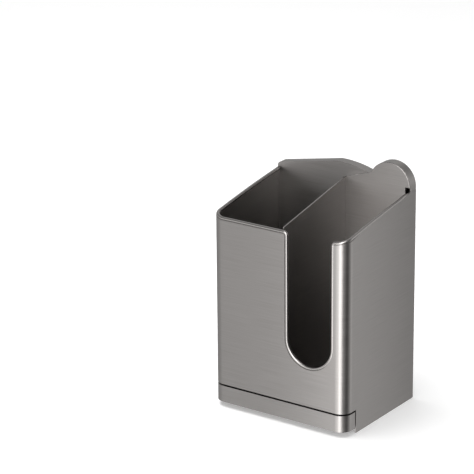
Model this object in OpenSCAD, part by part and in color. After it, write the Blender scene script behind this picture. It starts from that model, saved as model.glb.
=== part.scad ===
// Countertop or wall cutlery drainer of bent stainless steel sheet.
// Two compartments stand on a perforated floor, and a drip tray slides out of the front below it.
// Frame: origin at the middle of the footprint, front face towards -Y, +Z up, millimetres.

/* [Body] */
// Width across the front
body_w = 120; // [110:1:140]
// Depth from the front face to the wall side
body_d = 97; // [85:1:115]
// Height of the front rim above the worktop
front_h = 154.2; // [140:0.1:175]
// Outer radius of the two upright front corners
corner_r = 9; // [7:0.1:9.1]
// Thickness of the steel sheet
sheet_t = 1; // [0.8:0.05:1.2]
// Diameter of the rolled rim
rim_d = 2.8; // [2.2:0.1:3.2]
// How far the rolled rim sits behind the outer face
rim_set = 0.1; // [0.05:0.01:0.2]

/* [Side walls] */
// Level run of the side rims behind the round front corners
side_level = 0.6; // [0.4:0.1:6]
// Radius of the bend where a side rim starts to climb
side_bend_r = 10; // [5:0.5:25]
// Angle at which a side rim starts to climb
side_slope = 16.5; // [14.5:0.5:20]
// How much a side rim climbs from the front rim to the back
side_rise = 15.1; // [9:0.1:16]

/* [Front cut-out] */
// Width of the cut-out, whose lower end is a half circle
slot_w = 38.1; // [30:0.1:43]
// Height of the lowest point of the cut-out
slot_low_h = 50.8; // [35:0.1:90]
// Width of the post between the cut-out and the right side
post_w = 13.6; // [13.6:0.1:18]
// Radius of the two upper corners beside the cut-out
slot_top_r = 4; // [3.4:0.1:4.4]

/* [Back] */
// Depth of the thick band along the top of the back
band_d = 8.4; // [6:0.1:14]
// Radius of the tall hump over the right compartment
hump_r = 18; // [15:0.1:20]
// Height of the tall hump above the front rim
hump_rise = 35.8; // [33.5:0.1:40]
// Distance of the low wave's crest from the left side
wave_x = 55.5; // [46:0.1:60]
// Height of the low wave's crest above the front rim
wave_rise = 28.7; // [26:0.1:30]
// Radius of the low wave to the right of its crest
wave_r = 90; // [75:1:120]
// Radius of the crest, where the straight left slope ends
crest_r = 12; // [6:1:30]
// Angle of the straight slope to the left of the crest
slope_angle = 11; // [9:0.5:12]
// Radius of the shoulder at the left end of the band
shoulder_r = 3; // [2:0.1:5]
// Radius of the valley between the wave and the hump
valley_r = 4; // [2:0.1:6]
// Width of the notch in the hump's corner, where the right side's rolled rim runs in
rim_notch_w = 4; // [3.6:0.1:6]
// How far that notch reaches above the right side wall
rim_notch_rise = 3.5; // [2:0.1:5]

/* [Wall keyholes] */
// Distance between the two keyholes
key_pitch = 60; // [40:1:80]
// Height of the keyholes' round ends above the worktop
key_h = 140; // [110:1:145]
// Diameter of the round end, which a screw head passes
key_head_d = 9; // [8:0.1:11]
// Width of the neck, which the screw's shank rises into
key_neck_w = 4.5; // [3.5:0.1:5]
// Distance from the round end up to the end of the neck
key_neck_l = 9; // [7:0.1:12]

/* [Divider] */
// How far the divider stands to the left of the cut-out
divider_lap = 5; // [4:0.1:10]
// Gap between the rolled rim and the divider, below and behind the rim
divider_gap = 0.6; // [0.4:0.1:3]
// How far the divider's front end stands above the front rim
divider_over = 1.3; // [0:0.1:3]
// How much the divider's top edge climbs from front to back
divider_rise = 16.9; // [12:0.1:18.5]
// Inner radius of the divider's two bends
divider_bend_r = 0.5; // [0.5:0.1:2]
// Width of the flange that joins the divider to the front
divider_flange = 10; // [6:0.1:16]

/* [Drain floor] */
// Height of the floor's upper face
floor_h = 22.5; // [22:0.1:34]
// Diameter of a drain hole
drain_d = 5; // [3.5:0.1:6]
// Distance between drain holes
drain_pitch = 11; // [9:0.1:14]
// Plain border of the floor
drain_border = 9; // [7:0.1:14]

/* [Drip tray] */
// Height of the tray's underside above the worktop
tray_low_h = 4.2; // [3.6:0.1:6]
// Height of the drawer front
tray_front_h = 13.3; // [12:0.1:14.2]
// Height of the pan's walls
tray_pan_h = 11; // [8:0.1:12]
// Depth of the drawer front's side returns
tray_return = 13.9; // [12:0.1:18]
// Seam between the drawer front and the body
seam_gap = 1; // [0.6:0.1:1.4]
// Running gap between the pan and the parts that guide it
run_gap = 0.3; // [0.2:0.05:0.5]
// Width of a runner's ledge
ledge_w = 8; // [5:0.1:12]
// Height of a runner's upright leg
runner_leg_h = 11; // [8:0.1:12]

/* [Hidden] */
$fn = 48;
overrun = 5;
rim_r = rim_d / 2;
fine_fn = 900;

// Heights and depths that several pieces share
rim_z = front_h - rim_r;
rim_in = rim_set + rim_r;
side_back_h = front_h + side_rise;
back_y = body_d - band_d;
liner_y = back_y - sheet_t;
notch_gap = 0.5;

// Where a circle of radius r round c2 meets one of radius r1 round c1
function circles_cross(c1, r1, c2, r2) =
    let (d = c2 - c1, l = norm(d), a = (r1 * r1 - r2 * r2 + l * l) / (2 * l),
         h = sqrt(r1 * r1 - a * a), u = d / l)
    c1 + u * a + [-u[1], u[0]] * h;

// Side rim line in Y and Z: level, a small upward bend, then one large arc that bows over
bend_c = [corner_r + side_level, rim_z + side_bend_r];
climb_from = bend_c + side_bend_r * [sin(side_slope), -cos(side_slope)];
climb_way = [back_y, rim_z + side_rise] - climb_from;
climb_r = norm(climb_way) / (2 * sin(side_slope - atan2(climb_way[1], climb_way[0])));
climb_c = climb_from + climb_r * [sin(side_slope), -cos(side_slope)];
function climb_angle(y) = acos((y - climb_c[0]) / climb_r);

// Cut-out in the XZ plane
slot_right = body_w - post_w;
slot_left = slot_right - slot_w;
slot_x = slot_right - slot_w / 2;
slot_z = slot_low_h + slot_w / 2;

// Outline of the back in the XZ plane
hump_c = [body_w - hump_r, front_h + hump_rise - hump_r];
wave_c = [wave_x, front_h + wave_rise - wave_r];
slope_n = [-sin(slope_angle), cos(slope_angle)];
crest_c = wave_c + [0, wave_r - crest_r];
shoulder_c = [shoulder_r, shoulder_z()];
valley_c = circles_cross(wave_c, wave_r + valley_r, hump_c, hump_r + valley_r);
valley_low = valley_c[1] - valley_r;
// The shoulder lies where the straight slope, carried on to the left, is one shoulder radius away
function shoulder_z() =
    let (p = crest_c + (crest_r - shoulder_r) * slope_n)
    p[1] + (shoulder_r - p[0]) * tan(slope_angle);

// Divider and its bends in the plan
divider_x = slot_left - divider_lap;
flange_top_h = front_h - rim_d - divider_gap;
divider_front_y = rim_in + rim_r + divider_gap;
bend_mid_r = divider_bend_r + sheet_t;
divider_end_y = liner_y + sheet_t - bend_mid_r;
divider_start_y = sheet_t + bend_mid_r;
divider_end_h = front_h + divider_over + divider_rise;
leg_x = divider_x - sheet_t + bend_mid_r;

// Tray and runners
tray_top_h = tray_low_h + tray_front_h;
body_low_h = tray_top_h + seam_gap;
side_front_y = tray_return + seam_gap;
ledge_top_h = tray_low_h - run_gap;
pan_x = 2 * sheet_t + run_gap;
pan_r = corner_r - sheet_t;
pan_end_y = back_y - run_gap;
inner_back_low_h = ledge_top_h - sheet_t;

module at_origin() {
    translate([-body_w / 2, -body_d / 2, 0]) children();
}

// Draws a plane shape in X and Z as a sheet from y over a depth
module xz_sheet(y, depth) {
    translate([0, y + depth, 0]) rotate([90, 0, 0]) linear_extrude(depth) children();
}

// Turns X, Y of what it holds into Y, Z
module in_yz() {
    rotate([90, 0, 90]) children();
}

// Turns X, Y of what it holds into X, Z
module in_xz() {
    rotate([90, 0, 0]) children();
}

// Plan of the body with round front corners, drawn smaller by inset
module body_plan(inset, length) {
    translate([inset, corner_r]) square([body_w - 2 * inset, length - corner_r]);
    translate([corner_r, inset]) square([body_w - 2 * corner_r, corner_r - inset + sheet_t]);
    for (x = [corner_r, body_w - corner_r]) translate([x, corner_r]) circle(corner_r - inset);
}

// Wall of one sheet that follows that plan
module wrap_plan(length) {
    difference() {
        body_plan(0, length);
        body_plan(sheet_t, length + overrun);
    }
}

// Region under the rim line, in Y and Z
module side_profile() {
    square([bend_c[0], rim_z]);
    difference() {
        polygon([[bend_c[0], 0], [climb_from[0], 0], climb_from, [bend_c[0], rim_z]]);
        translate(bend_c) circle(side_bend_r, $fn = 360);
    }
    intersection() {
        translate(climb_c) circle(climb_r, $fn = fine_fn);
        translate([climb_from[0], 0]) square([back_y - climb_from[0], side_back_h]);
    }
    translate([liner_y - notch_gap, 0]) square([body_d - liner_y + notch_gap, side_back_h]);
}

// Cut-out of the front sheet, in X and Z, drawn larger by grow
module slot_profile(grow) {
    translate([slot_x, slot_z]) circle(slot_w / 2 + grow);
    translate([slot_left - grow, slot_z]) square([slot_w + 2 * grow, front_h]);
    for (side = [0, 1])
        translate([slot_x, 0]) mirror([side, 0]) translate([slot_w / 2, front_h - slot_top_r])
            difference() {
                square([slot_top_r, slot_top_r + overrun]);
                translate([slot_top_r, 0]) circle(slot_top_r - grow);
            }
}

// Rolled rim: rods and bends of one diameter along the free edge
module rim_bend(radius, from, to, facets) {
    rotate([0, 0, from]) rotate_extrude(angle = to - from, $fn = facets)
        translate([radius, 0]) circle(rim_r, $fn = 32);
}

module rim_rod(length) {
    cylinder(h = length, r = rim_r, $fn = 32);
}

module side_rim(end_y) {
    in_yz() {
        translate([corner_r, rim_z]) rotate([0, 90, 0]) rim_rod(side_level);
        translate(bend_c) rim_bend(side_bend_r, -90, side_slope - 90, 180);
        translate(climb_c) rim_bend(climb_r, climb_angle(end_y), 90 + side_slope, 720);
    }
}

module corner_rim() {
    translate([corner_r, corner_r, rim_z]) rim_bend(corner_r - rim_in, 180, 270, 96);
}

module slot_rim() {
    translate([0, rim_in, 0]) in_xz() {
        translate([slot_x, slot_z]) rim_bend(slot_w / 2 + rim_r, 180, 360, 96);
        for (side = [0, 1])
            translate([slot_x, 0]) mirror([side, 0]) {
                translate([slot_w / 2 + slot_top_r, front_h - slot_top_r])
                    rim_bend(slot_top_r - rim_r, 90, 180, 96);
                translate([slot_w / 2 + rim_r, slot_z]) rotate([-90, 0, 0])
                    rim_rod(front_h - slot_top_r - slot_z);
            }
    }
}

module front_rim(from, to) {
    translate([from, rim_in, rim_z]) rotate([0, 90, 0]) rim_rod(to - from);
}

module outer_shell() {
    color("#8c8a87") at_origin() {
        difference() {
            intersection() {
                linear_extrude(side_back_h) wrap_plan(body_d);
                in_yz() linear_extrude(body_w) side_profile();
            }
            xz_sheet(-overrun, corner_r + overrun) slot_profile(rim_r);
            translate([-overrun, -overrun, -overrun])
                cube([body_w + 2 * overrun, side_front_y + overrun, body_low_h + overrun]);
        }
        translate([rim_in, 0, 0]) side_rim(back_y - notch_gap);
        translate([body_w - rim_in, 0, 0]) side_rim(back_y);
        corner_rim();
        translate([body_w, 0, 0]) mirror([1, 0, 0]) corner_rim();
        front_rim(corner_r, slot_left - slot_top_r);
        front_rim(slot_right + slot_top_r, body_w - corner_r);
        slot_rim();
    }
}

// Outline of the back with its wave and hump, in X and Z, drawn smaller by inset
module back_outline(inset) {
    slope_end = crest_c + (crest_r - inset) * slope_n;
    right = body_w - inset;
    polygon([[inset, 0], [inset, shoulder_c[1]], shoulder_c + (shoulder_r - inset) * slope_n,
             slope_end, crest_c, hump_c, [right, hump_c[1]], [right, 0]]);
    translate(shoulder_c) circle(shoulder_r - inset);
    translate(hump_c) circle(hump_r - inset, $fn = 180);
    translate(crest_c) circle(crest_r - inset, $fn = 180);
    intersection() {
        translate(wave_c) circle(wave_r - inset, $fn = fine_fn);
        translate([wave_x, 0]) square([hump_c[0] - wave_x, front_h + wave_rise]);
    }
    difference() {
        polygon([valley_c, wave_c, hump_c]);
        translate(valley_c) circle(valley_r + inset);
    }
}

// Outline of a sheet that stands between the side walls and covers them above their top edges
module back_sheet_outline() {
    difference() {
        back_outline(0);
        for (x = [-overrun, body_w - sheet_t])
            translate([x, -overrun]) square([sheet_t + overrun, side_back_h + overrun]);
    }
}

// The same with the notch that lets the right rolled rim run in
module notched_outline() {
    difference() {
        back_sheet_outline();
        translate([body_w - rim_notch_w, side_back_h - rim_notch_w])
            square([rim_notch_w + overrun, rim_notch_w + rim_notch_rise]);
    }
}

module keyhole() {
    circle(key_head_d / 2);
    translate([-key_neck_w / 2, 0]) square([key_neck_w, key_neck_l]);
    translate([0, key_neck_l]) circle(key_neck_w / 2);
}

// Rear sheet, with its wall keyholes and the flange turned forward along the wave and hump
module rear_panel() {
    color("#7f7d7a") at_origin() {
        xz_sheet(body_d - sheet_t, sheet_t) difference() {
            back_sheet_outline();
            for (side = [-1, 1])
                translate([(body_w + side * key_pitch) / 2, key_h]) keyhole();
        }
        xz_sheet(back_y + sheet_t, band_d - 2 * sheet_t) difference() {
            back_outline(0);
            back_outline(sheet_t);
            translate([-overrun, -overrun]) square([body_w + 2 * overrun, side_back_h + overrun]);
        }
    }
}

module inner_back() {
    color("#6f6d6a") at_origin() {
        translate([sheet_t, back_y, inner_back_low_h])
            cube([body_w - 2 * sheet_t, sheet_t, front_h - inner_back_low_h]);
        xz_sheet(back_y, sheet_t) difference() {
            notched_outline();
            translate([0, -overrun]) square([body_w, front_h + overrun]);
        }
    }
}

// Quarter bend of one sheet, in plan
module bend_plan() {
    difference() {
        circle(bend_mid_r);
        circle(divider_bend_r);
        translate([-bend_mid_r, 0]) square(2 * bend_mid_r);
        translate([0, -bend_mid_r]) square(2 * bend_mid_r);
    }
}

// Plan of the divider: front flange, bend, divider, and the bend into the leg along the back
module divider_plan() {
    translate([divider_x - divider_flange, sheet_t]) square([divider_flange - bend_mid_r, sheet_t]);
    translate([divider_x - bend_mid_r, divider_start_y]) mirror([1, 0]) bend_plan();
    translate([divider_x - sheet_t, divider_start_y])
        square([sheet_t, divider_end_y - divider_start_y]);
    translate([leg_x, divider_end_y]) mirror([0, 1]) bend_plan();
}

// Divider in Y and Z: low under the front rim, then a climbing top edge
module divider_profile() {
    polygon([[0, floor_h], [back_y, floor_h], [back_y, divider_end_h],
             [divider_end_y, divider_end_h], [divider_front_y, front_h + divider_over],
             [divider_front_y, flange_top_h], [0, flange_top_h]]);
}

// Leg along the back, in X and Z: its top edge climbs to the valley, then follows the hump
module leg_profile() {
    intersection() {
        notched_outline();
        polygon([[leg_x, floor_h], [leg_x, divider_end_h], [valley_c[0], valley_low],
                 [valley_c[0], front_h + hump_rise], [body_w, front_h + hump_rise],
                 [body_w, floor_h]]);
    }
}

module divider_liner() {
    color("#a3a19e") at_origin() {
        intersection() {
            linear_extrude(front_h + hump_rise) divider_plan();
            in_yz() linear_extrude(body_w) divider_profile();
        }
        xz_sheet(liner_y, sheet_t) leg_profile();
    }
}

module drain_floor() {
    inner_w = body_w - 2 * drain_border;
    inner_d = back_y - 2 * drain_border;
    row_pitch = drain_pitch * sin(60);
    rows = floor(inner_d / row_pitch);
    columns = floor(inner_w / drain_pitch);
    color("#777572") at_origin() difference() {
        translate([0, 0, body_low_h]) linear_extrude(floor_h - body_low_h) floor_plan(sheet_t);
        translate([0, 0, body_low_h - overrun])
            linear_extrude(floor_h - body_low_h - sheet_t + overrun) floor_plan(2 * sheet_t);
        for (row = [0:rows], column = [0:columns - row % 2])
            translate([(body_w - (columns - row % 2) * drain_pitch) / 2 + column * drain_pitch,
                       (back_y - rows * row_pitch) / 2 + row * row_pitch, floor_h - sheet_t - overrun])
                cylinder(h = sheet_t + 2 * overrun, d = drain_d, $fn = 24);
    }
}

// Plan of the floor, whose front corners stay clear of the shell's bends
module floor_plan(inset) {
    center = corner_r + sheet_t;
    translate([inset, center]) square([body_w - 2 * inset, back_y + sheet_t - inset - center]);
    translate([center, inset]) square([body_w - 2 * center, center]);
    for (x = [center, body_w - center]) translate([x, center]) circle(center - inset);
}

module runner() {
    length = back_y - side_front_y;
    translate([sheet_t, side_front_y, ledge_top_h - sheet_t]) {
        cube([ledge_w, length, sheet_t]);
        cube([sheet_t, length, runner_leg_h]);
    }
}

module left_runner() {
    color("#5f5d5a") at_origin() runner();
}

module right_runner() {
    color("#5f5d5a") at_origin() translate([body_w, 0, 0]) mirror([1, 0, 0]) runner();
}

module tray_front() {
    color("#9a9895") at_origin() translate([0, 0, tray_low_h])
        linear_extrude(tray_front_h) wrap_plan(tray_return);
}

module pan_plan(inset) {
    r = pan_r - inset;
    low = [pan_x + inset, sheet_t + inset];
    size = [body_w - 2 * low[0], pan_end_y - inset - low[1]];
    translate(low + [0, r]) square([size[0], size[1] - 2 * r]);
    translate(low + [r, 0]) square([size[0] - 2 * r, size[1]]);
    for (x = [r, size[0] - r], y = [r, size[1] - r]) translate(low + [x, y]) circle(r);
}

module tray_pan() {
    color("#82807d") at_origin() translate([0, 0, tray_low_h]) difference() {
        linear_extrude(tray_pan_h) pan_plan(0);
        translate([0, 0, sheet_t]) linear_extrude(tray_pan_h) pan_plan(sheet_t);
    }
}

outer_shell();
rear_panel();
inner_back();
divider_liner();
drain_floor();
left_runner();
right_runner();
tray_front();
tray_pan();
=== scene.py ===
import bmesh
import bpy
import numpy as np
from mathutils import Matrix


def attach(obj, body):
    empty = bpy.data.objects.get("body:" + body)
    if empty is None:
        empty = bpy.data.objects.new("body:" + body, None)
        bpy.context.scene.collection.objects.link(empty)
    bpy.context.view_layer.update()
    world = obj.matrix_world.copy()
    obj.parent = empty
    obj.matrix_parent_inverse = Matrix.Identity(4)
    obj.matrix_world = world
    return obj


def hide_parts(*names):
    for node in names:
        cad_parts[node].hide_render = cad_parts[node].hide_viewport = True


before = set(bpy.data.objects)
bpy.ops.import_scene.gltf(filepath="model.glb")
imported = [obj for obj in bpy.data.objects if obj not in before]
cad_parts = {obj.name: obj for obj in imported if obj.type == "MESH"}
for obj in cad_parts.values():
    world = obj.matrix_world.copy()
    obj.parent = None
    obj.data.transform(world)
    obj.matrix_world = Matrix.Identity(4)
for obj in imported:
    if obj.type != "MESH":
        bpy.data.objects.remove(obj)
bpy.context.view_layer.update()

# Outer shell: one sheet of 1 mm stainless steel, with the left side, the front with its U-shaped
# opening and the right side in one. It is cut flat, bent round two upright front corners and welded
# to the back. All lengths here are in mm, from the body's left front corner on the table.
MM = 0.001
BODY_W, BODY_D, FRONT_H = 120.0, 97.0, 154.2
ORIGIN_AT = np.array([BODY_W / 2, BODY_D / 2, 0])
# thickness, radius of the upright corners, and rounding of the cut edges, of which the shell gets
# only 0.03 mm, because the narrowest columns of its mesh, beside the opening, limit it
SHEET_T, CORNER_R, CUT_EDGE_R = 1.0, 9.0, 0.12
# its lower edge above the drawer front, and the Y behind which its sides reach the table
SHELL_LOW, FOOT_Y = 18.9, 15.1
# the opening: its two sides, its lowest point and the radius of its upper corners
SLOT_LEFT, SLOT_RIGHT, SLOT_LOW, SLOT_TOP_R = 68.3, 106.4, 50.8, 4.0
SLOT_X, SLOT_R = (SLOT_LEFT + SLOT_RIGHT) / 2, (SLOT_RIGHT - SLOT_LEFT) / 2
SLOT_Z = SLOT_LOW + SLOT_R
# the bead on its free edge: radius, depth behind the sheet's face, how far below the bead's centre
# the sheet ends, which leaves a fine groove, and the stretch over which that fades on the right side
BEAD_R, BEAD_SET, GROOVE, GROOVE_FADE = 1.4, 0.1, 0.9, 12.0
BEAD_Z, BEAD_IN = FRONT_H - BEAD_R, BEAD_SET + BEAD_R
# the bead's climb to the back per mm, how much that eases off, and the extra rise at the right end
CLIMB, CLIMB_EASE = 0.2006, 0.00042
END_RISE, END_RISE_L = 1.6, 18.0
# front of the back, height of the walls beside it, and how far they reach into the flange on them
BACK_Y, SIDE_BACK_H, TUCK = 88.6, 169.3, 0.2
# lengths along the bent sheet from its left rear edge: to the back, to the foot's front, to both
# ends of the corner, and to the right rear edge, and what turns an X on the front into a length
REAR_L, FOOT_S, SIDE_L = BODY_D - BACK_Y, BODY_D - FOOT_Y, BODY_D - CORNER_R
FRONT_S = SIDE_L + np.pi / 2 * CORNER_R
SHELL_L = 2 * FRONT_S + BODY_W - 2 * CORNER_R
X_TO_S = FRONT_S - CORNER_R
# radius of the sheet's cut edge round the opening and at its upper corners
CUT_R = SLOT_R + BEAD_R + GROOVE
CUT_TOP_R = SLOT_TOP_R - BEAD_R - GROOVE
# columns of the mesh: widest on the flats and on the bends, beside a bend, at the step in the wall,
# and how many round the half circle and each upper corner of the opening
FLAT_STEP, BEND_STEP, BESIDE_BEND, WALL_STEP = 4.0, 0.6, 1.0, 0.1
CUT_POINTS, CUT_TOP_POINTS = 49, 9
# rows of the mesh, up to the middle of the opening and above it
LOWER_ROWS, UPPER_ROWS = 8, 12
# a difference in length that counts as none
NO_LENGTH = 1e-6
# the steel: its colour, the share of it in dark and light streaks, the roughness of brushed faces
# and of rolled edges, how far it varies, and how far a highlight spreads across the grain
STEEL_GREY, DARK_STREAK, LIGHT_STREAK = "#928f8d", 0.93, 1.07
BRUSHED_ROUGH, EDGE_ROUGH, ROUGH_SPREAD, HIGHLIGHT_SPREAD = 0.38, 0.22, 0.07, 0.7
# its grain's length and width, the size of its clouds, and the height and strength of its bump
GRAIN_L, GRAIN_W, CLOUD, BUMP_H, BUMP_STRENGTH = 36.0, 0.6, 22.0, 0.02, 0.1
# edges that turn by more than this many degrees are rounded
EDGE_ANGLE = 35


def srgb(code):
    """Linear RGBA of an sRGB hex colour: the standard curve, a 2.4 power above a short straight toe."""
    tone = np.array([int(code[i:i + 2], 16) for i in (1, 3, 5)]) / 255
    return (*np.where(tone <= 0.04045, tone / 12.92, ((tone + 0.055) / 1.055) ** 2.4), 1.0)


def add_node(tree, kind, inputs=None, **settings):
    """Adds a node with its properties, and gives inputs, by name or number, a value or a link. A Mix
    node's inputs are 0 for the share, 2 and 3 for numbers, and 6 and 7 for colours."""
    node = tree.nodes.new(kind)
    for name, value in settings.items():
        setattr(node, name, value)
    for name, value in (inputs or {}).items():
        if isinstance(value, bpy.types.NodeSocket):
            tree.links.new(value, node.inputs[name])
        else:
            node.inputs[name].default_value = value
    return node


def satin_steel(name, roughness, spread_way, wraps):
    """Brushed stainless steel. The grain is noise drawn out along the sheet. It runs along X, or,
    where it wraps, along X + Y, which follows upright faces round the corners. Grain and clouds
    together vary the roughness, and grain alone the tone and the bump. A highlight spreads across
    the grain by the share spread_way. The real grain is too fine to show, so it is coarser here."""
    material = bpy.data.materials.new(name)
    material.use_nodes = True
    tree = material.node_tree
    tree.nodes.clear()
    place = add_node(tree, "ShaderNodeTexCoord").outputs["Object"]
    along = place
    if wraps:
        round_way = add_node(tree, "ShaderNodeVectorMath", {0: place, 1: (1, 1, 0)},
                             operation="DOT_PRODUCT").outputs["Value"]
        height = add_node(tree, "ShaderNodeSeparateXYZ", {"Vector": place}).outputs["Z"]
        along = add_node(tree, "ShaderNodeCombineXYZ", {"X": round_way, "Z": height}).outputs[0]
    per_grain = (1 / (GRAIN_L * MM), 1 / (GRAIN_W * MM), 1 / (GRAIN_W * MM))
    grain_at = add_node(tree, "ShaderNodeMapping", {"Vector": along, "Scale": per_grain})
    grain = add_node(tree, "ShaderNodeTexNoise",
                     {"Vector": grain_at.outputs["Vector"], "Scale": 1.0, "Detail": 3.0,
                      "Roughness": 0.6})
    streak = add_node(tree, "ShaderNodeMapRange",
                      {"Value": grain.outputs["Fac"], "From Min": 0.3, "From Max": 0.7}).outputs[0]
    cloud = add_node(tree, "ShaderNodeTexNoise",
                     {"Vector": place, "Scale": 1 / (CLOUD * MM), "Detail": 2.0}).outputs["Fac"]
    mixed = add_node(tree, "ShaderNodeMath", {0: streak, 1: cloud}, operation="ADD")
    rough = add_node(tree, "ShaderNodeMapRange",
                     {"Value": mixed.outputs[0], "From Min": 0.3, "From Max": 1.7,
                      "To Min": roughness - ROUGH_SPREAD, "To Max": roughness + ROUGH_SPREAD})
    dark, light = ([v * share for v in srgb(STEEL_GREY)[:3]] + [1.0]
                   for share in (DARK_STREAK, LIGHT_STREAK))
    tone = add_node(tree, "ShaderNodeMix", {0: streak, 6: dark, 7: light}, data_type="RGBA")
    bump = add_node(tree, "ShaderNodeBump",
                    {"Height": grain.outputs["Fac"], "Strength": BUMP_STRENGTH,
                     "Distance": BUMP_H * MM})
    # across the grain is up the walls, and where the grain runs along X, back over level faces too
    across = add_node(tree, "ShaderNodeCombineXYZ", {"Y": 0.0 if wraps else 1.0, "Z": 1.0})
    steel = add_node(tree, "ShaderNodeBsdfPrincipled",
                     {"Base Color": tone.outputs[2], "Metallic": 1.0,
                      "Roughness": rough.outputs["Result"], "Anisotropic": spread_way,
                      "Normal": bump.outputs["Normal"], "Tangent": across.outputs["Vector"]})
    add_node(tree, "ShaderNodeOutputMaterial", {"Surface": steel.outputs["BSDF"]})
    return material


def in_frame(points):
    """Points in mm from the body's corner, put in metres in the part's own frame."""
    return (points - ORIGIN_AT) * MM


def carry(piece, body, node):
    """Puts a piece in the scene, on the body that carries it and in place of its CAD node."""
    bpy.context.scene.collection.objects.link(piece)
    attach(piece, body)
    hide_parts(node)


def make_piece(name, points, faces, materials, body, node):
    """A smooth mesh object from points in mm and lists of point numbers, on its body."""
    mesh = bpy.data.meshes.new(name)
    mesh.from_pydata(in_frame(points).tolist(), [], faces)
    mesh.polygons.foreach_set("use_smooth", [True] * len(mesh.polygons))
    for material in materials:
        mesh.materials.append(material)
    mesh.update()
    piece = bpy.data.objects.new(name, mesh)
    carry(piece, body, node)
    return piece


def round_edges(piece, radius, segments):
    """Rounds a piece's edges by a radius in mm, in its second material, and keeps flat faces flat."""
    bevel = piece.modifiers.new("edges", "BEVEL")
    bevel.width = radius * MM
    bevel.segments = segments
    bevel.limit_method = "ANGLE"
    bevel.angle_limit = np.radians(EDGE_ANGLE)
    bevel.material = 1
    flat_first = piece.modifiers.new("flat faces stay flat", "WEIGHTED_NORMAL")
    flat_first.weight = 100
    flat_first.keep_sharp = True
    return bevel


def grid_faces(rows, columns, closed=False):
    """Quads of a grid of rows x columns points; closed joins the last column to the first."""
    i, j = np.meshgrid(np.arange(rows - 1), np.arange(columns - (not closed)), indexing="ij")
    i, j = i.ravel(), j.ravel()
    k = (j + 1) % columns
    return np.stack([i * columns + j, i * columns + k, (i + 1) * columns + k,
                     (i + 1) * columns + j], axis=1)


def spread(knots, step):
    """Values from knot to knot, evenly spaced in each stretch, no further apart than step."""
    runs = [np.linspace(a, b, max(2, int(np.ceil((b - a) / step)) + 1))[:-1]
            for a, b in zip(knots[:-1], knots[1:])]
    return np.append(np.concatenate(runs), knots[-1])


def shell_plan(s, inset):
    """X, Y at length s round the shell, inset mm inside its face: the left side, a quarter circle
    and the front to its middle, and the same mirrored."""
    half = np.minimum(s, SHELL_L - s)
    turn = np.clip((half - SIDE_L) / CORNER_R, 0, np.pi / 2)
    r = CORNER_R - inset
    x = CORNER_R - r * np.cos(turn) + np.clip(half - FRONT_S, 0, None)
    y = CORNER_R - r * np.sin(turn) + np.clip(SIDE_L - half, 0, None)
    return np.where(s < SHELL_L / 2, x, BODY_W - x), y


def end_share(s, length):
    """0 to 1 over the last length mm of the right side before the back: the square of the way."""
    return np.clip(1 - (SHELL_L - s - REAR_L) / length, 0, 1) ** 2


def bead_height(s):
    """Height of the bead's centre at length s: level along the front, then a climb that eases off
    to the back, with a little more rise at the end of the right side."""
    way = np.clip(FRONT_S - np.minimum(s, SHELL_L - s), 0, None)
    return BEAD_Z + CLIMB * way - CLIMB_EASE * way**2 + END_RISE * end_share(s, END_RISE_L)


def groove_depth(s):
    """How far the sheet ends below the bead's centre at length s: the full groove, then evenly less,
    down to none, over the first stretch of the right side."""
    return GROOVE * (1 - np.clip(s - SHELL_L + SIDE_L, 0, GROOVE_FADE) / GROOVE_FADE)


# brushed round the body: level streaks, and soft upright bands of light
STEEL = satin_steel("brushed stainless steel, grain round the body", BRUSHED_ROUGH,
                    HIGHLIGHT_SPREAD, wraps=True)
# smoother where the sheet is rolled or cut: thin bright lines along the rim and the edges
EDGE = satin_steel("stainless steel, rolled and cut edges", EDGE_ROUGH, 0.0, wraps=False)

cut_s = X_TO_S + SLOT_X - CUT_R * np.cos(np.linspace(0, np.pi, CUT_POINTS))
top_way = CUT_TOP_R * np.sin(np.linspace(0, np.pi / 2, CUT_TOP_POINTS))
left_top_s = X_TO_S + SLOT_LEFT - SLOT_TOP_R + top_way
right_top_s = X_TO_S + SLOT_RIGHT + SLOT_TOP_R - top_way[::-1]
left_knots = np.array([0, REAR_L, REAR_L + WALL_STEP, FOOT_S, SIDE_L - BESIDE_BEND, SIDE_L])
s = np.concatenate([
    spread(left_knots, FLAT_STEP)[:-1],
    spread([SIDE_L, FRONT_S], BEND_STEP)[:-1],
    spread([FRONT_S, FRONT_S + BESIDE_BEND, left_top_s[0]], FLAT_STEP)[:-1],
    left_top_s[:-1], cut_s, right_top_s[1:],
    spread([right_top_s[-1], SHELL_L - FRONT_S], FLAT_STEP)[1:],
    spread([SHELL_L - FRONT_S, SHELL_L - SIDE_L], BEND_STEP)[1:],
    spread(SHELL_L - left_knots[::-1], FLAT_STEP)[1:]])
x, y = shell_plan(s, 0)

# the middle row follows the half circle of the cut edge, and is level beside it
below_slot = np.sqrt(np.clip(CUT_R**2 - (x - SLOT_X) ** 2, 0, None))
middle = SLOT_Z - np.where((s >= cut_s[0]) & (s <= cut_s[-1]), below_slot, 0)

# the top row follows the bead, rounds down into the opening, and steps up beside the back
into = np.minimum(s - left_top_s[0], right_top_s[-1] - s)
rounded = FRONT_H - SLOT_TOP_R + np.sqrt(np.clip(CUT_TOP_R**2 - into**2, 0, None))
top = np.where((into > 0) & (into < CUT_TOP_R + NO_LENGTH), rounded, bead_height(s) - groove_depth(s))
top = np.where(np.minimum(s, SHELL_L - s) < REAR_L + WALL_STEP / 2, SIDE_BACK_H + TUCK, top)

z = np.concatenate([
    np.stack([0 * s, 0 * s + SHELL_LOW]),
    SHELL_LOW + (middle - SHELL_LOW) * np.linspace(0, 1, LOWER_ROWS + 1)[1:, None],
    middle + (top - middle) * np.linspace(0, 1, UPPER_ROWS + 1)[1:, None]])
points = np.stack(np.broadcast_arrays(x, y, z), axis=-1).reshape(-1, 3)

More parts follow.
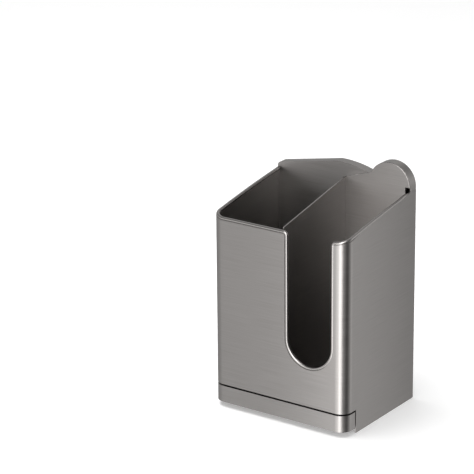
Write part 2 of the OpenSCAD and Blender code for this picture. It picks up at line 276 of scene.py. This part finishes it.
# no faces over the drawer front and in the opening, and no points that no face uses
cell_s = (s[:-1] + s[1:]) / 2
cell_row = np.arange(len(z) - 1)[:, None]
foot = np.minimum(cell_s, SHELL_L - cell_s) < FOOT_S
in_opening = (cell_row > LOWER_ROWS) & (cell_s > cut_s[0]) & (cell_s < cut_s[-1])
kept = ((cell_row > 0) | foot) & ~in_opening
used, faces = np.unique(grid_faces(len(z), len(s))[kept.ravel()], return_inverse=True)
shell = make_piece("shell_sheet", points[used], faces.reshape(-1, 4).tolist(), [STEEL, EDGE],
                   "holder", "outer_shell")
sheet = shell.modifiers.new("sheet, inwards from its face", "SOLIDIFY")
sheet.thickness = SHEET_T * MM
sheet.offset = -1
round_edges(shell, CUT_EDGE_R, segments=2)

# Rolled bead: the shell's free edge is rolled inwards into a thin round bead, which runs along the
# left side and the front, down round the opening and along the right side. It is of the same
# sheet, and is made here as one closed tube with flat ends just before the back.
# the tube's sides, the distance between its circles on the corners and the front, down the opening
# and on the right side, and their number round the half circle and each upper corner
BEAD_SIDES, BEAD_STEP, POST_STEP, RIGHT_STEP = 20, 0.8, 6.0, 1.5
TURN_POINTS, TOP_TURN_POINTS = 49, 13
# how far before the back its two ends lie, and how deep and over what length the right end sinks
# into the notch in the back
LEFT_END, RIGHT_END = 0.5, 0.6
END_SINK, END_SINK_L = 1.6, 8.0


def tube(path, out, radius, sides):
    """Points and faces of a round tube: circles square to the path, each starting on the side that
    out points to, and closed by a flat cap at each end."""
    way = np.gradient(path, axis=0)
    way /= np.linalg.norm(way, axis=1)[:, None]
    side = out - way * (out * way).sum(axis=1)[:, None]
    side /= np.linalg.norm(side, axis=1)[:, None]
    up = np.cross(way, side)
    turn = np.linspace(0, 2 * np.pi, sides, endpoint=False)[:, None]
    ring = path[:, None] + radius * (np.cos(turn) * side[:, None] + np.sin(turn) * up[:, None])
    cap = np.arange(sides)
    faces = grid_faces(len(path), sides, closed=True).tolist()
    faces += [cap[::-1].tolist(), (cap + (len(path) - 1) * sides).tolist()]
    return ring.reshape(-1, 3), faces


def shell_out(s):
    """Unit vectors out of the shell at length s: its outer face less one 1 mm further in."""
    out = np.subtract(shell_plan(s, 0), shell_plan(s, 1))
    return np.stack([*out, 0 * s], axis=1)


def along_side(s, sunk):
    """Points of the bead's centre line on the sides and corners, lowered by sunk."""
    return np.column_stack([*shell_plan(s, BEAD_IN), bead_height(s) - sunk])


def along_front(x, z):
    """Points of the bead's centre line behind the front, from their X and Z."""
    return np.column_stack(np.broadcast_arrays(x, BEAD_IN, z))


left_run = np.concatenate([
    spread([REAR_L + LEFT_END, SIDE_L - BESIDE_BEND, SIDE_L], FLAT_STEP)[:-1],
    spread([SIDE_L, FRONT_S, X_TO_S + SLOT_LEFT - SLOT_TOP_R], BEAD_STEP)])
right_run = SHELL_L - np.concatenate([
    spread([REAR_L + RIGHT_END, REAR_L + END_SINK_L, SIDE_L - BESIDE_BEND, SIDE_L], RIGHT_STEP)[:-1],
    spread([SIDE_L, FRONT_S], BEAD_STEP)])[::-1]
top_turn = np.linspace(0, np.pi / 2, TOP_TURN_POINTS)[1:]
turn = np.linspace(0, np.pi, TURN_POINTS)[1:-1]
down = spread([SLOT_Z, FRONT_H - SLOT_TOP_R], POST_STEP)[::-1][1:]
turn_r, top_turn_r, top_turn_z = SLOT_R + BEAD_R, SLOT_TOP_R - BEAD_R, FRONT_H - SLOT_TOP_R
front_run = np.concatenate([
    along_front(SLOT_LEFT - SLOT_TOP_R + top_turn_r * np.sin(top_turn),
                top_turn_z + top_turn_r * np.cos(top_turn)),
    along_front(SLOT_LEFT - BEAD_R, down),
    along_front(SLOT_X - turn_r * np.cos(turn), SLOT_Z - turn_r * np.sin(turn)),
    along_front(SLOT_RIGHT + BEAD_R, down[::-1]),
    along_front(SLOT_RIGHT + SLOT_TOP_R - top_turn_r * np.cos(top_turn),
                top_turn_z + top_turn_r * np.sin(top_turn))])
sunk = END_SINK * end_share(right_run, END_SINK_L)
path = np.concatenate([along_side(left_run, 0), front_run, along_side(right_run, sunk)])
front_out = np.tile([0.0, -1.0, 0.0], (len(front_run), 1))
out = np.concatenate([shell_out(left_run), front_out, shell_out(right_run)])
points, faces = tube(path, out, BEAD_R, BEAD_SIDES)
make_piece("shell_bead", points, faces, [EDGE], "holder", "outer_shell")

# Rear panel: the sheet on the wall side, with a low wave and a tall hump along its top, the flange
# turned forward there, and two keyholes to hang the drainer by. It is cut and bent from 1 mm
# stainless steel and welded to the side walls. The edges of its rear face are eased.
REAR_EDGE_R = 0.5
# points nearer than this are joined, faces that differ by fewer degrees are joined, and edges that
# turn by more degrees than the last stay sharp
SAME_POINT, SAME_FACE, SHARP_ANGLE = 0.002, 0.2, 50
# a point this near a plane lies on it
ON_PLANE = 0.05
# brushed from side to side: the same level streaks on faces that point to the front
CROSS_STEEL = satin_steel("brushed stainless steel, grain from side to side", BRUSHED_ROUGH,
                          HIGHLIGHT_SPREAD, wraps=False)


def from_corner(mesh):
    """A mesh's points in mm from the body's corner."""
    place = np.empty(len(mesh.vertices) * 3)
    mesh.vertices.foreach_get("co", place)
    return place.reshape(-1, 3) / MM + ORIGIN_AT


def rounded_copy(node, name, body, radius, share=None, segments=3, steel=STEEL, reshape=None):
    """A copy of a CAD node, with points merged and flat faces joined, whose edges are rounded by a
    radius in mm. share(points) gives each point 0 to 1 of that radius, and an edge takes the lower
    share of its two ends. reshape(points) returns the points moved, before all else."""
    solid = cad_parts[node].data.copy()
    if reshape is not None:
        solid.vertices.foreach_set("co", in_frame(reshape(from_corner(solid))).ravel())
    joined = bmesh.new()
    joined.from_mesh(solid)
    bpy.data.meshes.remove(solid)
    bmesh.ops.remove_doubles(joined, verts=joined.verts, dist=SAME_POINT * MM)
    bmesh.ops.dissolve_degenerate(joined, dist=SAME_POINT * MM, edges=joined.edges)
    bmesh.ops.dissolve_limit(joined, angle_limit=np.radians(SAME_FACE), verts=joined.verts,
                             edges=joined.edges)
    mesh = bpy.data.meshes.new(name)
    joined.to_mesh(mesh)
    joined.free()
    # the solid's stored normals would stay smooth over the sharp edges
    if "custom_normal" in mesh.attributes:
        mesh.attributes.remove(mesh.attributes["custom_normal"])
    mesh.materials.append(steel)
    mesh.materials.append(EDGE)
    mesh.polygons.foreach_set("use_smooth", [True] * len(mesh.polygons))
    mesh.set_sharp_from_angle(angle=np.radians(SHARP_ANGLE))
    piece = bpy.data.objects.new(name, mesh)
    bevel = round_edges(piece, radius, segments)
    if share is not None:
        bevel.limit_method = "WEIGHT"
        ends = np.empty(len(mesh.edges) * 2, int)
        mesh.edges.foreach_get("vertices", ends)
        sharp = np.zeros(len(mesh.edges), bool)
        mesh.attributes["sharp_edge"].data.foreach_get("value", sharp)
        weight = share(from_corner(mesh))[ends.reshape(-1, 2)].min(axis=1) * sharp
        mesh.attributes.new("bevel_weight_edge", "FLOAT", "EDGE").data.foreach_set("value", weight)
    carry(piece, body, node)


def rear_edges(p):
    """The full radius on the rear face, and none elsewhere."""
    return np.where(p[:, 1] > BODY_D - ON_PLANE, 1.0, 0.0)


rounded_copy("rear_panel", "rear_sheet", "holder", REAR_EDGE_R, rear_edges, steel=CROSS_STEEL)

# Inner back: the sheet that closes the front of the hollow back, and the rear wall of the left
# compartment. It is 1 mm stainless steel, cut to the same wave and welded under the flange, where
# the joint is dressed to a soft round edge.
BAND_EDGE_R = 0.95
# height above which its front edges are eased, the height above which they get the full radius,
# and the share of the radius between the two
EASED_Z, BAND_Z, LOWER_SHARE = 94.2, 170.2, 0.3


def front_edges(p):
    """The full radius on the front edge of the wave and hump, less on the front edges below, and
    none elsewhere."""
    front = (p[:, 1] < BACK_Y + ON_PLANE) & (p[:, 2] > EASED_Z)
    return np.where(front, np.where(p[:, 2] > BAND_Z, 1.0, LOWER_SHARE), 0.0)


rounded_copy("inner_back", "inner_back_sheet", "holder", BAND_EDGE_R, front_edges, steel=CROSS_STEEL)

# Divider: one bent sheet of 1 mm stainless steel, the wall between the compartments and the leg that
# lines the back of the right one, up into the hump. It is welded to the front and the back. Its
# inner bend shows no line on the real one, so it is drawn sharp here.
DIVIDER_X, LINER_Y, BEND_R, BEND_SLACK = 63.3, 87.6, 0.5, 0.02


def sharp_bend(p):
    """Moves the points of the inner bend, a quarter circle, to the corner that it rounds."""
    in_bend = np.hypot(p[:, 0] - DIVIDER_X - BEND_R, p[:, 1] - LINER_Y + BEND_R) < BEND_R + BEND_SLACK
    p[in_bend, :2] = [DIVIDER_X, LINER_Y]
    return p


rounded_copy("divider_liner", "divider_sheet", "holder", BAND_EDGE_R, front_edges, reshape=sharp_bend)

# Drain floor: the punched sheet that both compartments stand on, so that water falls into the tray.
# It is 1 mm stainless steel, welded to the walls, and the punch leaves its holes with eased edges.
FLOOR_EDGE_R = 0.25
rounded_copy("drain_floor", "punched_floor", "holder", FLOOR_EDGE_R, segments=2, steel=CROSS_STEEL)

# Runners: two angle rails of bent 1 mm stainless steel, one welded inside each side wall. The drip
# tray rests and slides on their ledges.
RUNNER_EDGE_R = 0.2
for side in ("left", "right"):
    rounded_copy(f"{side}_runner", f"{side}_runner_rail", "holder", RUNNER_EDGE_R, segments=2)

# Drawer front: the front of the drip tray, one sheet of 1 mm stainless steel bent round both corners
# in line with the shell above it, with the same grain. It is welded to the pan.
rounded_copy("tray_front", "tray_drawer_front", "tray", CUT_EDGE_R)

# Drip pan: the shallow pan that catches the water. It is drawn from one sheet of 1 mm stainless
# steel, with upright walls and round corners, and rests on the runners behind the drawer front.
PAN_EDGE_R = 0.2
rounded_copy("tray_pan", "tray_drip_pan", "tray", PAN_EDGE_R, segments=2, steel=CROSS_STEEL)

# Table: a plain sheet of matt white paper, which isn't part of the drainer. The camera sees it a
# little lighter than the lamps make it. The steel doesn't mirror it, and it casts no shadow, because
# the lamps reach below it.
TABLE_HALF = 4
TABLE_WHITE, TABLE_ROUGHNESS, TABLE_LIFT = "#f4f4f4", 0.9, 0.25
paper = bpy.data.materials.new("matt white paper")
paper.use_nodes = True
tree = paper.node_tree
surface = tree.nodes["Principled BSDF"]
surface.inputs["Base Color"].default_value = srgb(TABLE_WHITE)
surface.inputs["Roughness"].default_value = TABLE_ROUGHNESS
surface.inputs["Emission Color"].default_value = (1, 1, 1, 1)
camera_ray = add_node(tree, "ShaderNodeLightPath").outputs["Is Camera Ray"]
lift = add_node(tree, "ShaderNodeMath", {0: camera_ray, 1: TABLE_LIFT}, operation="MULTIPLY")
tree.links.new(lift.outputs[0], surface.inputs["Emission Strength"])
table = bpy.data.meshes.new("floor")
table.from_pydata([(-TABLE_HALF, -TABLE_HALF, 0), (TABLE_HALF, -TABLE_HALF, 0),
                   (TABLE_HALF, TABLE_HALF, 0), (-TABLE_HALF, TABLE_HALF, 0)], [], [(0, 1, 2, 3)])
table.materials.append(paper)
table_top = bpy.data.objects.new("floor", table)
bpy.context.scene.collection.objects.link(table_top)
table_top.visible_glossy = False
table_top.visible_shadow = False

# Studio: the camera sees white, and matt surfaces get an even pale light. The steel mirrors grey
# tones instead, which change with the bearing in degrees from +X to +Y, in three bands: below,
# level with and above the drainer. They give it its light and dark stretches.
ROOM_LIGHT, SEEN_WHITE = 0.6, 1.0
BRIGHTEST, HALF_TURN = 5.0, 180
LOW_ROUND = [(-180, 0.6), (-150, 0.7), (-125, 0.8), (-100, 0.75), (-60, 0.5), (-40, 0.4),
             (-26, 0.3), (-16, 0.08), (4, 0.1), (14, 0.5), (45, 0.5), (62, 0.42), (80, 0.3),
             (120, 0.2), (150, 0.35), (165, 0.5), (180, 0.6)]
LEVEL_ROUND = [(-180, 0.7), (-150, 1.2), (-125, 2.2), (-100, 1.5), (-60, 0.7), (-16, 0.12),
               (4, 0.15), (14, 0.6), (45, 0.7), (62, 0.6), (80, 0.4), (120, 0.4), (150, 0.5),
               (180, 0.7)]
HIGH_ROUND = [(-180, 0.45), (-150, 0.4), (-98, 0.35), (-84, 2.5), (-40, 2.5), (-26, 0.35),
              (60, 0.35), (85, 0.55), (105, 0.75), (145, 0.75), (165, 0.6), (180, 0.45)]
# the rise of a direction, from -1 to 1, over which the low tones give way to the level ones, and
# those to the high ones
LOW_TO_LEVEL, LEVEL_TO_HIGH = (-0.16, -0.04), (0.14, 0.3)


def tone_ramp(tree, bearing, tones):
    """Tone at a bearing: straight lines between the pairs of bearing and tone."""
    part = add_node(tree, "ShaderNodeMapRange",
                    {"Value": bearing, "From Min": -HALF_TURN, "From Max": HALF_TURN})
    ramp = add_node(tree, "ShaderNodeValToRGB", {"Fac": part.outputs["Result"]})
    stops = ramp.color_ramp.elements
    while len(stops) > 1:
        stops.remove(stops[-1])
    for number, (at, tone) in enumerate(tones):
        position = (at + HALF_TURN) / (2 * HALF_TURN)
        stop = stops.new(position) if number else stops[0]
        stop.position = position
        stop.color = (*[tone / BRIGHTEST] * 3, 1)
    return add_node(tree, "ShaderNodeMath", {0: ramp.outputs["Color"], 1: BRIGHTEST},
                    operation="MULTIPLY").outputs[0]


world = bpy.data.worlds.new("studio")
bpy.context.scene.world = world
world.use_nodes = True
tree = world.node_tree
tree.nodes.clear()
ray = add_node(tree, "ShaderNodeLightPath")
seen = add_node(tree, "ShaderNodeMath",
                {0: ray.outputs["Is Camera Ray"], 1: ray.outputs["Is Transmission Ray"]},
                operation="MAXIMUM")
plain = add_node(tree, "ShaderNodeMapRange",
                 {"Value": seen.outputs[0], "To Min": ROOM_LIGHT, "To Max": SEEN_WHITE})
direction = add_node(tree, "ShaderNodeTexCoord").outputs["Generated"]
axes = add_node(tree, "ShaderNodeSeparateXYZ", {"Vector": direction})
bearing = add_node(tree, "ShaderNodeMath", {0: axes.outputs["Y"], 1: axes.outputs["X"]},
                   operation="ARCTAN2")
bearing = add_node(tree, "ShaderNodeMath", {0: bearing.outputs[0]}, operation="DEGREES")
low_tone, level_tone, high_tone = (tone_ramp(tree, bearing.outputs[0], tones)
                                   for tones in (LOW_ROUND, LEVEL_ROUND, HIGH_ROUND))
level_share, high_share = (
    add_node(tree, "ShaderNodeMapRange",
             {"Value": axes.outputs["Z"], "From Min": low, "From Max": high}).outputs["Result"]
    for low, high in (LOW_TO_LEVEL, LEVEL_TO_HIGH))
mirrored = add_node(tree, "ShaderNodeMix", {0: level_share, 2: low_tone, 3: level_tone})
mirrored = add_node(tree, "ShaderNodeMix", {0: high_share, 2: mirrored.outputs[0], 3: high_tone})
strength = add_node(tree, "ShaderNodeMix",
                    {0: ray.outputs["Is Glossy Ray"], 2: plain.outputs["Result"],
                     3: mirrored.outputs[0]})
sky = add_node(tree, "ShaderNodeBackground",
               {"Color": (1, 1, 1, 1), "Strength": strength.outputs[0]})
add_node(tree, "ShaderNodeOutputWorld", {"Surface": sky.outputs["Background"]})

# Softboxes: flat white lamps, placed in metres. The front, strip and side ones show only as soft
# images in the steel, and the top one, which the steel doesn't mirror, lights the table and draws
# the drainer's shadow.


def facing(right, up, back, place):
    """The matrix that puts an object at a place with its X, Y and Z along three unit vectors."""
    matrix = Matrix(np.array([right, up, back]).T.tolist()).to_4x4()
    matrix.translation = place
    return matrix


def softbox(name, place, target, size, radiance):
    """A flat white lamp that faces a target. Its power is its radiance times pi times its area."""
    lamp = bpy.data.lights.new(name, "AREA")
    lamp.shape = "RECTANGLE"
    lamp.size, lamp.size_y = size
    lamp.energy = radiance * np.pi * size[0] * size[1]
    box = bpy.data.objects.new(name, lamp)
    bpy.context.scene.collection.objects.link(box)
    back = np.subtract(place, target)
    back /= np.linalg.norm(back)
    side = np.cross([0, 0, 1], back)
    side /= np.linalg.norm(side)
    box.matrix_world = facing(side, np.cross(back, side), back, place)
    return box


front_box = softbox("front softbox", place=(0.03, -0.29, 0.12), target=(0.03, 0, 0.12),
                    size=(0.26, 0.8), radiance=1.4)
strip_box = softbox("strip softbox", place=(0.13, -0.25, 0.12), target=(0.13, 0, 0.12),
                    size=(0.13, 0.8), radiance=2.5)
top_box = softbox("top softbox", place=(-0.3, -0.2, 1.4), target=(0, 0, 0.1),
                  size=(1.0, 1.0), radiance=4.456)
side_box = softbox("side softbox", place=(0.22, 0.15, 0.0), target=(0.0, 0.15, 0.0),
                   size=(0.2, 0.7), radiance=0.62)
for box in (front_box, strip_box, side_box):
    box.visible_diffuse = False
side_box.visible_camera = False
top_box.visible_glossy = False

# Camera: at the photo's viewing angle, from the right and above. Its angles in degrees, its place in
# metres and its focal length in pixels of the photo's frame come from fitting a camera to the
# drainer's own straight edges.
YAW, PITCH, ROLL = 35.25, 19.51, 0.51
CAMERA_AT = (0.9782, -1.4845, 0.7642)
FOCAL_PX, FRAME_PX, SENSOR = 2500, 474, 36
yaw, pitch, roll = np.radians([YAW, PITCH, ROLL])
forward = np.array([-np.sin(yaw) * np.cos(pitch), np.cos(yaw) * np.cos(pitch), -np.sin(pitch)])
level = np.array([np.cos(yaw), np.sin(yaw), 0])
under = np.cross(forward, level)
right = np.cos(roll) * level + np.sin(roll) * under
up = np.sin(roll) * level - np.cos(roll) * under
view = bpy.data.cameras.new("camera")
view.lens = FOCAL_PX / FRAME_PX * SENSOR
view.sensor_width = SENSOR
camera = bpy.data.objects.new("camera", view)
bpy.context.scene.collection.objects.link(camera)
camera.matrix_world = facing(right, up, -forward, CAMERA_AT)
bpy.context.scene.camera = camera
bpy.context.scene.view_settings.view_transform = "Standard"
